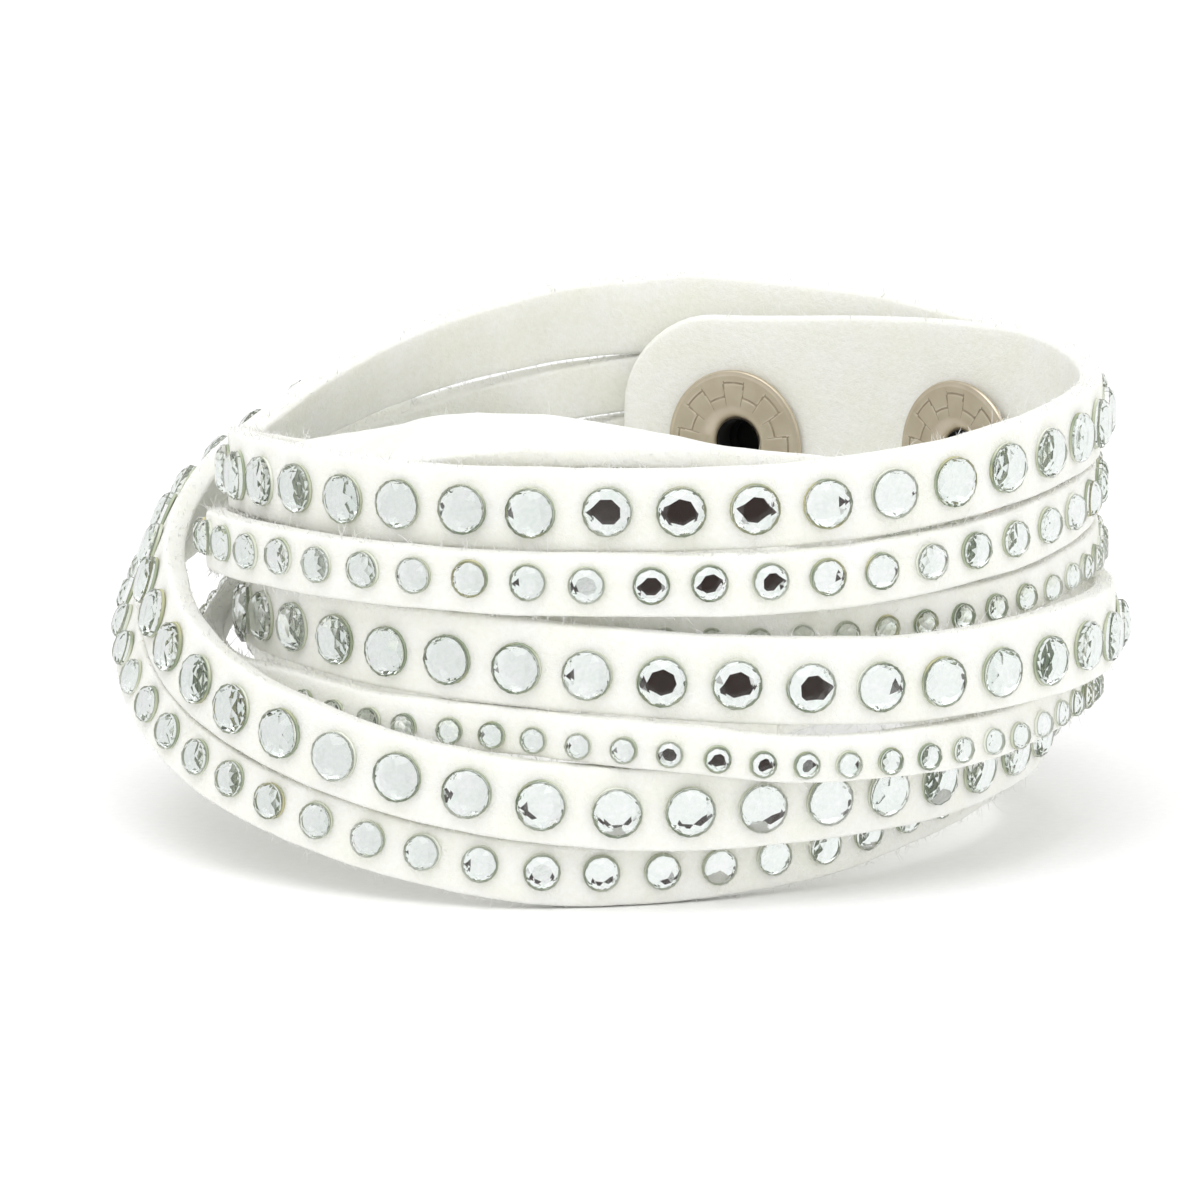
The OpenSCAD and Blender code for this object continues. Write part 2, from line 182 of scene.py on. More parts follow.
def glue():
    material, tree, place = new_material("cured_jewellery_glue")
    patches = add(tree, "ShaderNodeTexNoise", Vector=place, Scale=PER_M / 6.0, Detail=2.0)
    colour = add(tree, "ShaderNodeValToRGB", Fac=patches,
                 stops=[(0.36, "#eaeee2"), (0.5, "#c0c7ae"), (0.6, "#93a186"),
                        (0.72, "#d6cf9e")])
    bump = add(tree, "ShaderNodeBump", Strength=0.3, Distance=0.05 * MM, Height=patches)
    shader = add(tree, "ShaderNodeBsdfPrincipled", Base_Color=colour, Roughness=0.35,
                 IOR=1.48, Normal=bump)
    add(tree, "ShaderNodeOutputMaterial", Surface=shader)
    return material


CRYSTAL, FOIL, GLUE = crystal(), foil(), glue()
print("stone materials:", CRYSTAL.name, FOIL.name, GLUE.name)

# %% [markdown]
# ## Nickel and painted shade
# The snaps are brass with a dull nickel plating, pressed, so their surface has the fine
# unevenness of the tool. Their open hole and the line pressed into the flange lie in shade,
# and that shade is painted: both get a darker metal.


# %% Metals
def nickel():
    material, tree, place = new_material("dull_nickel_plated_brass")
    grain = add(tree, "ShaderNodeTexNoise", Vector=place, Scale=PER_M / 0.18, Detail=5.0)
    stain = add(tree, "ShaderNodeTexNoise", Vector=place, Scale=PER_M / 1.6, Detail=3.0)
    colour = add(tree, "ShaderNodeValToRGB", Fac=stain,
                 stops=[(0.3, "#c9bda8"), (0.55, "#d0c5b1"), (0.8, "#d7cdba")])
    rough = add(tree, "ShaderNodeMapRange", Value=grain, To_Min=0.24, To_Max=0.46)
    bump = add(tree, "ShaderNodeBump", Strength=0.35, Distance=0.02 * MM, Height=grain)
    shader = add(tree, "ShaderNodeBsdfPrincipled", Base_Color=colour, Metallic=1.0,
                 Roughness=rough, Normal=bump)
    add(tree, "ShaderNodeOutputMaterial", Surface=shader)
    return material


def dark_metal(name, low, high, roughness, metallic):
    """Metal darkened as painted shade, whose tone wanders between two colours over half a mm."""
    material, tree, place = new_material(name)
    cloud = add(tree, "ShaderNodeTexNoise", Vector=place, Scale=PER_M / 0.5, Detail=3.0)
    colour = add(tree, "ShaderNodeValToRGB", Fac=cloud, stops=[(0.3, low), (0.7, high)])
    shader = add(tree, "ShaderNodeBsdfPrincipled", Base_Color=colour, Metallic=metallic,
                 Roughness=roughness)
    add(tree, "ShaderNodeOutputMaterial", Surface=shader)
    return material


NICKEL = nickel()
# Painted shade: the inside of each snap's hole is drawn as near-black metal
HOLE_SHADE = dark_metal("painted_shade_in_hole", "#060505", "#100e0d", 0.95, 0.0)
# Painted shade: the pressed line on each flange is drawn in darker metal
GROOVE_SHADE = dark_metal("painted_shade_in_groove", "#9c907c", "#b0a490", 0.5, 1.0)
print("metals:", NICKEL.name, HOLE_SHADE.name, GROOVE_SHADE.name)

# %% [markdown]
# ## The route of the strap
# A wrap bracelet is easiest to describe by turn angle: how far round the wrist one has
# gone, clockwise from above, from the tip of the inner end. At each angle a strand has a
# radius, a height and a lean. A few rows for each strand, joined by a smooth cubic, give
# the whole route, and they are the rows that the CAD model is made from.

# %% Sizes of the strap
STRAP_T = 1.4  # mm, as are all sizes from here on
WIDTHS = np.array([5.0, 3.8, 2.9, 5.3])  # strands 1 to 4, from the top down
SLIT_W = 0.12
TIP_R = 6.0  # round corners of both tips
# Turn angles: the slits begin, half-way, the slits end, and the outer tip
CUT_FROM, MIDWAY, CUT_TO, END_A = 78.0, 400.0, 724.0, 789.0
WRIST_AXIS = np.array([0.49, -1.2, -0.03])  # foot of the axis that the angles go round
LAP = 3.0  # from the inner end's middle to the outer end's
HALF_W = WIDTHS.sum() / 2
OFFSETS = HALF_W - np.cumsum(WIDTHS) + WIDTHS / 2
print("strap:", STRAP_T, "mm thick,", 2 * HALF_W, "mm wide")

# %% Where the snaps are
# Turn angle, bearing of the axis, distance along it, height
SNAPS = [(17.1, 62.0, 25.24, 19.35), (57.3, 45.0, 25.16, 20.35)]


def flat_row(snap, angle, height, out=0.0, turns=0):
    """A row on the straight line across a snap's bearing: distance / cos(angle off it)."""
    off = math.radians(90 - angle - snap[1])
    return (angle + 360 * turns, (snap[2] + out) / math.cos(off), height, 0.0)


# %% Rows of the two ends
# Columns: turn angle, radius, height, lean of the top edge towards the wrist
INNER_END = [
    [0, 27.7, 18.6, 0],
    flat_row(SNAPS[0], 7, 18.7),
    flat_row(SNAPS[0], 16.5, 18.9),
    flat_row(SNAPS[0], 26, 19.2),
    [36.5, 25.1, 19.6, 0],
    flat_row(SNAPS[1], 47, 19.95),
    flat_row(SNAPS[1], 56.5, 20.2),
    flat_row(SNAPS[1], 67.5, 20.25),
    [78, 28.1, 19.95, 0],
    [90, 28.3, 19.6, 0],
]
OUTER_END = [
    [712, 30.1, 20.7, 12],
    [724, 30.15, 20.85, 3],
    flat_row(SNAPS[0], 8.6, 20.95, LAP, 2),
    flat_row(SNAPS[0], 18, 20.95, LAP, 2),
    flat_row(SNAPS[0], 26, 20.85, LAP, 2),
    [756.5, 28.1, 20.65, 0],
    flat_row(SNAPS[1], 47, 20.15, LAP, 2),
    flat_row(SNAPS[1], 56.5, 19.8, LAP, 2),
    flat_row(SNAPS[1], 67, 19.4, LAP, 2),
    [791, 30.8, 19.3, 0],
]

# %% Rows of the four strands
# Strand 1: top row at the front, then the fourth row
ROUTE_1 = [
    [92, 28.55, 25.6, 0], [110, 28.3, 25.3, 0], [130, 27.65, 24.65, 0],
    [155, 26.45, 23.85, 0], [180, 25.5, 23.65, 0], [210, 24.85, 23.35, 0],
    [240, 24.15, 23, 0], [262, 23.8, 22.3, 0], [285, 23.4, 20.5, 0],
    [306, 23.1, 18.6, 0], [320, 22.9, 16.7, 0], [335, 22.7, 14.4, 0],
    [350, 22.5, 12.6, 0], [360, 22.4, 12.0, 0], [380, 22.3, 11.1, 0],
    [400, 22.4, 10.2, 0], [420, 23.5, 9.2, 0], [445, 25.3, 8.0, 0],
    [465, 25.6, 6.9, 0], [486, 25.7, 6.25, -3], [512, 27, 6.1, -3],
    [530, 27.7, 6.05, -1], [545, 28.35, 6.35, 0], [556, 28.7, 6.88, 2],
    [572, 29.2, 8.2, 4], [600, 29.05, 11.25, 12], [636, 28.45, 16.6, 24],
    [665, 28.5, 20.5, 28], [690, 28.9, 24.1, 18], [710, 29.3, 26.2, 10],
]
# Strand 2: second row, then the lowest one
ROUTE_2 = [
    [92, 28.25, 21.15, 0], [110, 28.35, 20.8, 0], [135, 27.75, 19.9, 0],
    [155, 27.35, 19.4, 0], [180, 27.1, 19.4, 0], [210, 26.85, 19.35, 0],
    [240, 26.2, 19.0, 0], [255, 25.7, 18.45, 0], [270, 24.8, 17.3, 0],
    [285, 24.7, 15.85, 0], [310, 24.3, 13.55, 0], [335, 23.0, 9.95, 0],
    [350, 22.7, 8.1, 0], [360, 22.6, 7.45, 0], [390, 22.6, 6.0, 0],
    [420, 23.2, 4.3, 0], [445, 23.1, 4.1, 0], [465, 23.0, 4.3, 0],
    [486, 22.95, 3.65, -3], [500, 23.45, 3.05, -3], [512, 24.25, 2.55, -3],
    [530, 25.6, 2.05, -2], [545, 27.1, 1.95, 0], [556, 28.15, 2.45, 2],
    [572, 28.9, 3.65, 4], [600, 29.8, 6.85, 12], [636, 30.35, 12.5, 24],
    [665, 30.7, 16.4, 30], [690, 31.0, 19.3, 24], [710, 30.4, 21.4, 12],
]
# Strand 3: half hidden at first, then the row of the finest stones
ROUTE_3 = [
    [92, 28.4, 17.6, 0], [110, 28.2, 17.25, 0], [125, 27.6, 16.65, 0],
    [145, 26.2, 16.2, 0], [180, 24.8, 16.1, 0], [205, 23.2, 16.6, 0],
    [225, 22.6, 18.2, 0], [243, 22.2, 18.85, 0], [262, 22.2, 18.2, 0],
    [285, 22.4, 14.8, 0], [300, 22.55, 11.9, 0], [310, 23.2, 10.1, 0],
    [322, 25.05, 8.4, 0], [335, 25.6, 8.2, 0], [360, 25.5, 8.4, 0],
    [390, 25.7, 8.4, 0], [420, 26.8, 8.3, 0], [445, 27.97, 8.6, 0],
    [468, 28.4, 9.4, 0], [500, 29.4, 8.85, 0], [520, 29.35, 9.1, 0],
    [532, 29.15, 9.9, 0], [544, 27.95, 10.3, 0], [556, 26.95, 10.55, 2],
    [572, 26.75, 10.65, 4], [590, 26.1, 10.95, 6], [610, 25.75, 10.5, 8],
    [640, 25.9, 11.1, 14], [660, 27.3, 12.3, 20], [685, 29.8, 14.6, 24],
    [710, 31.5, 17.6, 16],
]
# Strand 4: third row, then flat over the top row's edge and out over strand 1
ROUTE_4 = [
    [92, 28.8, 13.3, 0], [102, 29.9, 13.3, 0], [118, 30.15, 13.35, 0],
    [145, 29.05, 13.2, 0], [165, 27.95, 13.75, 0], [190, 26.75, 14.5, 0],
    [215, 25.4, 14.8, 0], [240, 24.05, 14.9, 0], [262, 22.8, 13.9, 0],
    [285, 22.5, 10.4, 0], [310, 22.3, 5.6, 0], [332, 22.3, 2.85, 0],
    [348, 22.2, 2.7, 0], [364, 21.2, 2.7, 0], [380, 20.2, 2.9, 0],
    [398, 19.9, 5.2, 0], [425, 20.7, 9.8, 0], [450, 22.0, 14.4, 0], [475, 22.8, 18.3, -6],
    [498, 22.9, 22.1, -30], [512, 22.3, 24.6, -66], [527, 21.9, 26.15, -84],
    [545, 21.7, 26.9, -97], [560, 21.4, 26.8, -108], [577, 20.6, 25.75, -120],
    [592, 20.0, 24.3, -120], [604, 19.8, 22.9, -108], [622, 19.8, 21.3, -85],
    [645, 19.7, 20.6, -65], [668, 19.6, 20.3, -68], [686, 20.9, 20.3, -80],
    [700, 24.3, 19.8, -78], [712, 28.2, 17.2, -40],
]
ROUTES = [ROUTE_1, ROUTE_2, ROUTE_3, ROUTE_4]
print("route rows:", [len(r) for r in ROUTES])

# %% [markdown]
# Between the rows the strap has to be smooth, or its edges would show corners. A cubic
# with each row's slope taken from its two neighbours passes through every row, and numpy
# works it out for all angles at once.


# %% From rows to points
def smooth(rows, angles):
    """Cubic Hermite through the rows: each row's slope is that between its neighbours."""
    rows = np.array(rows, float)
    at, values = rows[:, 0], rows[:, 1:]
    last = len(rows) - 1
    low = np.maximum(np.arange(last + 1) - 1, 0)
    high = np.minimum(np.arange(last + 1) + 1, last)
    slopes = (values[high] - values[low]) / (at[high] - at[low])[:, None]
    i = np.clip(np.searchsorted(at, angles, side="right") - 1, 0, last - 1)
    gap = (at[i + 1] - at[i])[:, None]
    t = ((angles - at[i]) / (at[i + 1] - at[i]))[:, None]
    return ((2 * t**3 - 3 * t**2 + 1) * values[i] + (3 * t**2 - 2 * t**3) * values[i + 1]
            + (t**3 - 2 * t**2 + t) * gap * slopes[i]
            + (t**3 - t**2) * gap * slopes[i + 1])


def across(values, offset):
    """Radius, height and lean, moved across the strap: r - u sin(lean), z + u cos(lean)."""
    lean = np.radians(values[:, 2])
    return np.stack([values[:, 0] - offset * np.sin(lean),
                     values[:, 1] + offset * np.cos(lean), values[:, 2]], 1)


def end_values(angles):
    """The middle of the uncut strap, from the inner end's rows or the outer end's."""
    inner = (angles < MIDWAY)[:, None]
    return np.where(inner, smooth(INNER_END, angles), smooth(OUTER_END, angles))


def strand_table(k):
    """A strand's own rows, with those of the uncut ends moved to its place on them."""
    inner = np.array([row for row in INNER_END if row[0] <= CUT_FROM])
    outer = np.array([row for row in OUTER_END if row[0] >= CUT_TO])
    return np.vstack([
        np.hstack([inner[:, :1], across(inner[:, 1:], OFFSETS[k])]),
        np.array(ROUTES[k], float),
        np.hstack([outer[:, :1], across(outer[:, 1:], OFFSETS[k])]),
    ])


STRAND_TABLES = [strand_table(k) for k in range(4)]


def strand_values(k, angles):
    """Radius, height and lean of strand k's middle at each turn angle."""
    cut = ((angles > CUT_FROM) & (angles < CUT_TO))[:, None]
    whole = across(end_values(angles), OFFSETS[k])
    return np.where(cut, smooth(STRAND_TABLES[k], angles), whole)


def place(angles, values, u, v):
    """Points u across and v out: r = radius - u sin + v cos, z = height + u cos + v sin."""
    lean, turn = np.radians(values[..., 2]), np.radians(angles)
    r = values[..., 0] - u * np.sin(lean) + v * np.cos(lean)
    z = values[..., 1] + u * np.cos(lean) + v * np.sin(lean)
    return WRIST_AXIS + np.stack([r * np.sin(turn), r * np.cos(turn), z], -1)


# %% Where the strap is measured
# Degrees for a step of 0.75 mm at a radius of 27 mm, and at 29 mm near the outer tip
STEP_IN, STEP_OUT = math.degrees(0.75 / 27), math.degrees(0.75 / 29)
INNER_TIP_R, OUTER_TIP_R = 27.7, 31.0
NEAR_CUT = np.array([0.3, 0.7])  # degrees from the end of a slit
tip_angle = math.degrees(TIP_R / INNER_TIP_R)
# The even runs stop about a degree short of a slit's end, and closer sections take over
round_tip = tip_angle * (1 - np.cos(np.linspace(0, math.pi / 2, 12)))[:-1]
stations = np.concatenate([
    round_tip, np.arange(tip_angle, CUT_FROM - 0.8, STEP_IN),
    [CUT_FROM], CUT_FROM + NEAR_CUT, np.arange(CUT_FROM + 1.2, CUT_TO - 1.2, STEP_IN),
    CUT_TO - NEAR_CUT[::-1], [CUT_TO], np.arange(CUT_TO + 1.5, END_A - tip_angle, STEP_OUT),
    END_A - round_tip[::-1],
])
print("cross sections:", len(stations), "from", stations[0], "to", stations[-1])

# %% [markdown]
# ## The strap
# Faux suede is cut with a steel rule, so its edges are square but soft: the felt rounds
# over by a tenth or two and swells a little between the cuts. The four strands share one
# set of cross sections. Where the strap is whole their inner walls are left out and their
# edges meet point on point, so one mesh runs from tip to tip and opens at the slits.
# Slow waves of a twentieth of a millimetre keep the edges from looking ruled.

# %% Waves, slits and tips along the strap
MM_PER_DEGREE = 0.49  # along the strap, at a radius of 28 mm
OPENING = 1.2  # length over which a slit opens
TIP_EDGE, TIP_THINNING = 0.5, 0.82  # the felt is pressed thin over its last half millimetre
OCTAVES, SHORTER, LOWER, WAVE_SUM = 5, 1.7, 1.5, 2.2  # WAVE_SUM brings the sum near 1


def waves(positions, seed, longest):
    """Sum of sines with random phases, each shorter and lower than the last."""
    rng = np.random.default_rng(seed)
    total = np.zeros_like(positions)
    for octave in range(OCTAVES):
        length = longest / SHORTER**octave
        phase = rng.uniform(0, 2 * math.pi)
        total += np.sin(2 * math.pi * positions / length + phase) / LOWER**octave
    return total / WAVE_SUM


first_strand = place(stations, strand_values(0, stations), 0, 0)
run_mm = np.append(0, np.cumsum(np.linalg.norm(np.diff(first_strand, axis=0), axis=1)))
from_tip = np.minimum(stations * math.pi / 180 * INNER_TIP_R,
                      (END_A - stations) * math.pi / 180 * OUTER_TIP_R)
from_cut = np.where(stations < MIDWAY, stations - CUT_FROM, CUT_TO - stations) * MM_PER_DEGREE
open_share = np.clip(from_cut / OPENING, 0, 1)
open_share = open_share**2 * (3 - 2 * open_share)
tip_in = TIP_R - np.minimum(from_tip, TIP_R)
tip_share = (HALF_W - TIP_R + np.sqrt(TIP_R**2 - tip_in**2)) / HALF_W
tip_thin = np.sqrt(1 - TIP_THINNING * (1 - np.clip(from_tip / TIP_EDGE, 0, 1))**2)
print("length of strand 1, mm:", round(run_mm[-1], 1))

# %% Profile of a strand
FACE_POINTS, ARC_POINTS, WALL_POINTS = 9, 3, 3
EDGE_ROUND = 0.28
SWELL, EDGE_WAVE, FACE_WAVE = 0.05, 0.06, 0.05


def strand_loop(k):
    """Points (station, loop, 3) round a strand: out face, lower wall, in face, upper wall.

    Each corner is an arc of radius r about (edge - r, T/2 - r). r, the slit and the waves
    fade to nothing where the strap is whole, apart from its two outer edges.
    """
    top = WIDTHS[k] / 2
    upper_free = np.ones_like(open_share) if k == 0 else open_share
    lower_free = np.ones_like(open_share) if k == 3 else open_share
    upper = top - SLIT_W / 2 * open_share + EDGE_WAVE * open_share * waves(run_mm, 10 + k, 17)
    lower = -top + SLIT_W / 2 * open_share + EDGE_WAVE * open_share * waves(run_mm, 20 + k, 19)
    # The rounded tip draws the whole section together about the strap's middle
    upper = (OFFSETS[k] + upper) * tip_share - OFFSETS[k]
    lower = (OFFSETS[k] + lower) * tip_share - OFFSETS[k]
    half_t = STRAP_T / 2 * tip_thin
    r_up, r_low = EDGE_ROUND * upper_free * tip_thin, EDGE_ROUND * lower_free * tip_thin
    upper, lower, half_t, r_up, r_low = (x[:, None] for x in (upper, lower, half_t, r_up, r_low))
    arc = np.linspace(0, math.pi / 2, ARC_POINTS + 2)
    sine, cosine = np.sin(arc), np.cos(arc)
    share = np.linspace(0, 1, FACE_POINTS + 2)[1:-1]
    wall = np.linspace(0, 1, WALL_POINTS + 2)[1:-1]
    swell = SWELL * open_share[:, None] * (1 - (2 * share - 1)**2)
    up_edge, low_edge = upper - r_up, lower + r_low
    up_flat, low_flat = half_t - r_up, half_t - r_low
    face_u = up_edge * (1 - share) + low_edge * share
    # Each part is a pair: how far across the strap, and how far out of its middle
    parts = [
        (face_u, half_t + swell),
        (low_edge - r_low * sine, low_flat + r_low * cosine),
        (lower + 0 * wall, low_flat * (1 - wall) - low_flat * wall),
        (low_edge - r_low * cosine, -low_flat - r_low * sine),
        (face_u[:, ::-1], -half_t - swell),
        (up_edge + r_up * sine, -up_flat - r_up * cosine),
        (upper + 0 * wall, -up_flat * (1 - wall) + up_flat * wall),
        (up_edge + r_up * cosine, up_flat + r_up * sine),
    ]
    u, v = (np.hstack(each) for each in zip(*parts))
    v = v + (FACE_WAVE * open_share * waves(run_mm, 30 + k, 11))[:, None]
    values = strand_values(k, stations)
    sizes = [part[0].shape[1] for part in parts]
    return place(stations[:, None], values[:, None], u, v), sizes


# %% [markdown]
# Every piece below is an array of points and an array of faces, worked out by numpy. The
# next cells hand such a pair to Blender, make the faces of rings, fans and many copies,
# join several pairs into one and weld the points that meet.


# %% From points to a mesh
def new_piece(name, points, faces, material, smooth_shading=True):
    """A mesh object from points in mm; a row of faces that ends in -1 is a triangle."""
    mesh = bpy.data.meshes.new(name)
    corner = faces >= 0
    counts = corner.sum(1)
    mesh.vertices.add(len(points))
    mesh.vertices.foreach_set("co", (points * MM).ravel())
    mesh.loops.add(int(counts.sum()))
    mesh.loops.foreach_set("vertex_index", faces[corner])
    mesh.polygons.add(len(faces))
    mesh.polygons.foreach_set("loop_start", np.concatenate([[0], np.cumsum(counts)[:-1]]))
    mesh.polygons.foreach_set("use_smooth", np.full(len(faces), smooth_shading))
    mesh.update(calc_edges=True)
    mesh.validate()
    piece = bpy.data.objects.new(name, mesh)
    bpy.context.collection.objects.link(piece)
    for each in (material if isinstance(material, list) else [material]):
        mesh.materials.append(each)
    return piece


# %% Faces of rings, fans and copies
def ring_faces(rows, segments, closed):
    """Quads between neighbouring rings of points; closed joins the last ring to the first."""
    i, j = np.meshgrid(np.arange(rows if closed else rows - 1), np.arange(segments),
                       indexing="ij")
    i2, j2 = (i + 1) % rows, (j + 1) % segments
    return np.stack([i * segments + j, i * segments + j2, i2 * segments + j2,
                     i2 * segments + j], -1).reshape(-1, 4)


def fan(apex, line):
    """Triangles from one point to each pair of neighbours on a line of points."""
    return np.stack([np.full(len(line) - 1, apex), line[:-1], line[1:],
                     np.full(len(line) - 1, -1)], 1)


def copies(faces, count, size):
    """The faces of count copies of a shape that has size points."""
    step = np.arange(count)[:, None, None] * size
    return np.where(faces >= 0, faces + step, -1).reshape(-1, 4)


# %% Joining and welding
def joined(shapes):
    """One (points, faces) from a list of them: each counts on from the points before it."""
    starts = np.cumsum([0] + [len(points) for points, _ in shapes])
    return (np.vstack([points for points, _ in shapes]),
            np.vstack([np.where(faces >= 0, faces + start, -1)
                       for (_, faces), start in zip(shapes, starts)]))


def merged(points, faces, reach=1e-4):
    """Points closer than reach mm become one, and faces that lose a side become triangles."""
    keys = np.round(points / reach).astype(np.int64)
    _, first, where = np.unique(keys, axis=0, return_index=True, return_inverse=True)
    faces = np.where(faces >= 0, where.ravel()[faces], -1)
    sides = np.roll(faces, -1, axis=1)
    tri = faces[:, 3] < 0
    sides[tri, 2] = faces[tri, 0]
    same = faces == sides
    drop = same.sum(1)
    keep = [faces[(drop == 0)]]
    for side in range(4):
        rows = faces[(drop == 1) & same[:, side] & ~tri]
        left = np.delete(rows, side, axis=1)
        keep.append(np.hstack([left, np.full((len(left), 1), -1)]))
    return points[first], np.vstack(keep)


# %% One mesh from four strands
def tip_faces(k, starts, last):
    """Both tips closed: out face to in face, column by column, and a fan at a side wall.

    last is the number of points before the last section.
    """
    outer_side = np.concatenate([np.arange(starts[7], starts[8]), np.arange(starts[2])])
    inner_side = np.arange(starts[3], starts[6])[::-1]
    cap = np.stack([outer_side[:-1], inner_side[:-1], inner_side[1:], outer_side[1:]], 1)
    side_wall = np.empty((0, 4), int)
    if k == 0:
        wall = np.arange(starts[7], starts[6] - 2, -1)
        side_wall = fan(outer_side[1], np.append(wall, inner_side[1]))
        cap = cap[1:]
    if k == 3:
        wall = np.arange(starts[3], starts[2] - 2, -1)
        side_wall = fan(inner_side[-2], np.append(wall, outer_side[-2]))
        cap = cap[:-1]
    far_wall = np.where(side_wall >= 0, side_wall + last, -1)[:, [2, 1, 0, 3]]
    return [cap, side_wall, cap[:, ::-1] + last, far_wall]


strand_shapes = []
whole = (open_share[:-1] == 0) & (open_share[1:] == 0)
for k in range(4):
    loop_points, sizes = strand_loop(k)
    n, m = loop_points.shape[:2]
    starts = np.concatenate([[0], np.cumsum(sizes)])
    column = np.arange(m)
    # Walls and corners between strands exist only where the strap is cut
    low_wall = (column >= starts[1]) & (column < starts[4] - 1) & (k < 3)
    up_wall = (column >= starts[5]) & (column < starts[8] - 1) & (k > 0)
    hidden = whole[:, None] & (low_wall | up_wall)
    quads = ring_faces(n, m, False)[~hidden.ravel()]
    faces = np.vstack([quads] + tip_faces(k, starts, (n - 1) * m))
    strand_shapes.append((loop_points.reshape(-1, 3), faces))
strap_points, strap_faces = merged(*joined(strand_shapes))
strap = new_piece("suede_strap", strap_points, strap_faces, SUEDE)
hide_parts("strap")
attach(strap, "root")
print("suede strap:", len(strap_points), "points,", len(strap_faces), "faces")

# %% [markdown]
# ## The snap holes
# Each uncut end has two punched holes for the snaps' barrels. Four cylinders are cut out of
# the strap, so that light can pass the open hole of each snap as it does on the real one.


# %% Turning points about a snap's axis
def snap_frame(snap):
    """Centre of a snap on the inner end's middle, and its axis, across and up directions."""
    off = math.radians(90 - snap[0] - snap[1])
    r, turn = snap[2] / math.cos(off), math.radians(snap[0])
    centre = WRIST_AXIS + np.array([r * math.sin(turn), r * math.cos(turn), snap[3]])
    bearing = math.radians(snap[1])
    axis = np.array([math.cos(bearing), math.sin(bearing), 0.0])
    up = np.array([0.0, 0.0, 1.0])
    return centre, axis, np.cross(axis, up), up


def lathe_points(profile, segments, snap, lift=None):
    """Profile rows (radius, along the axis) turned about a snap's axis, one row a ring.

    lift(radius, along, turn) may move a point along the axis, for a pressed line.
    """
    centre, axis, side, up = snap_frame(snap)
    radius, along = np.array(profile, float).T
    turn = np.linspace(0, 2 * math.pi, segments, endpoint=False)
    radius, along = radius[:, None] + 0 * turn, along[:, None] + 0 * turn
    if lift is not None:
        along = along + lift(radius, along, turn + 0 * radius)
    points = (centre + axis * along[..., None] + side * (radius * np.cos(turn))[..., None]
              + up * (radius * np.sin(turn))[..., None])
    return points.reshape(-1, 3)


def flip_if_inside_out(piece):
    """Turns a closed mesh's faces round if the volume that they enclose is negative."""
    mesh = piece.data
    mesh.calc_loop_triangles()
    corners = np.empty(len(mesh.loop_triangles) * 3, np.int64)
    mesh.loop_triangles.foreach_get("vertices", corners)
    points = np.empty(len(mesh.vertices) * 3)
    mesh.vertices.foreach_get("co", points)
    a, b, c = points.reshape(-1, 3)[corners.reshape(-1, 3)].transpose(1, 0, 2)
    volume = np.einsum("ij,ij->i", a, np.cross(b, c)).sum() / 6
    if volume < 0:
        mesh.flip_normals()
    return abs(volume) / MM**3


# %% Punched holes
HOLE_D = 4.4
PUNCH_SIDES = 32
# From and to along a snap's axis, through the inner end and through the outer one
PUNCHED = [(-1.4, 1.4), (LAP - 1.2, LAP + 1.4)]
punches = []
for snap in SNAPS:
    for low, high in PUNCHED:
        profile = [(1e-4, low), (HOLE_D / 2, low), (HOLE_D / 2, high), (1e-4, high)]
        punches.append((lathe_points(profile, PUNCH_SIDES, snap),
                        ring_faces(4, PUNCH_SIDES, False)))
punch = new_piece("punch", *merged(*joined(punches)), SUEDE)
print("punch volume, mm3:", round(flip_if_inside_out(punch), 1),
      "strap volume, mm3:", round(flip_if_inside_out(strap), 1))
cut = strap.modifiers.new("holes", "BOOLEAN")
cut.operation, cut.solver, cut.object = "DIFFERENCE", "EXACT", punch
bpy.context.view_layer.update()
holed = bpy.data.meshes.new_from_object(
    strap.evaluated_get(bpy.context.evaluated_depsgraph_get()))
strap.modifiers.clear()
strap.data = holed
bpy.data.objects.remove(punch)
print("strap with holes:", len(holed.vertices), "points")

# %% [markdown]
# ## Stones
# A flat-back stone is a low button of glass: a short upright girdle, one ring of facets
# that rises gently to a wide table, and a silvered back. The same few dozen faces are set
# along each strand, one every few millimetres of its length. They are placed by hand in a
# jig, so each sits a few hundredths off the line, turned at random, and never quite level.


# %% One stone
def stone_template(sides):
    """Rings of a unit stone (radius 1, height 1): back, girdle, crown and table.

    The girdle has twice as many points as the table, and the crown's points lie between
    the table's, so that kites and triangles alternate as they do on a cut stone.
    """
    twice = 2 * sides
    # Columns: radius, height, number of points, turn as a share of a step
    rings = [(0.95, 0.0, twice, 0.0), (1.0, 0.12, twice, 0.0), (1.0, 0.48, twice, 0.0),
             (0.85, 0.78, sides, 0.5), (0.6, 1.0, sides, 0.0)]
    points = []
    for radius, height, count, shift in rings:
        turn = 2 * math.pi * (np.arange(count) + shift) / count
        points.append(np.stack([radius * np.cos(turn), radius * np.sin(turn),
                                np.full(count, height)], 1))
    back, _, girdle, crown, table = np.cumsum([0] + [ring[2] for ring in rings[:-1]])
    walls = ring_faces(3, twice, False)
    j = np.arange(sides)
    j2 = (j + 1) % sides
    none = np.full(sides, -1)
    even, odd, next_even = girdle + 2 * j, girdle + 2 * j + 1, girdle + (2 * j + 2) % twice
    facets = [
        np.stack([even, odd, crown + j, none], 1),
        np.stack([odd, next_even, crown + j, none], 1),
        np.stack([next_even, crown + j2, table + j2, crown + j], 1),
        np.stack([crown + j, table + j2, table + j, none], 1),
        fan(table, table + np.arange(1, sides)),
    ]
    glass = np.vstack([walls[twice:]] + facets)
    silver = np.vstack([walls[:twice], fan(back, np.arange(1, twice))[:, [0, 2, 1, 3]]])
    return np.vstack(points), glass, silver


STONE = stone_template(8)
print("one stone:", len(STONE[0]), "points,", len(STONE[1]) + len(STONE[2]), "faces")

# %% Where the stones are
STONES_TO = 720.0
GUESS_R = 28  # the radius that turns a pitch into a first guess of an angle


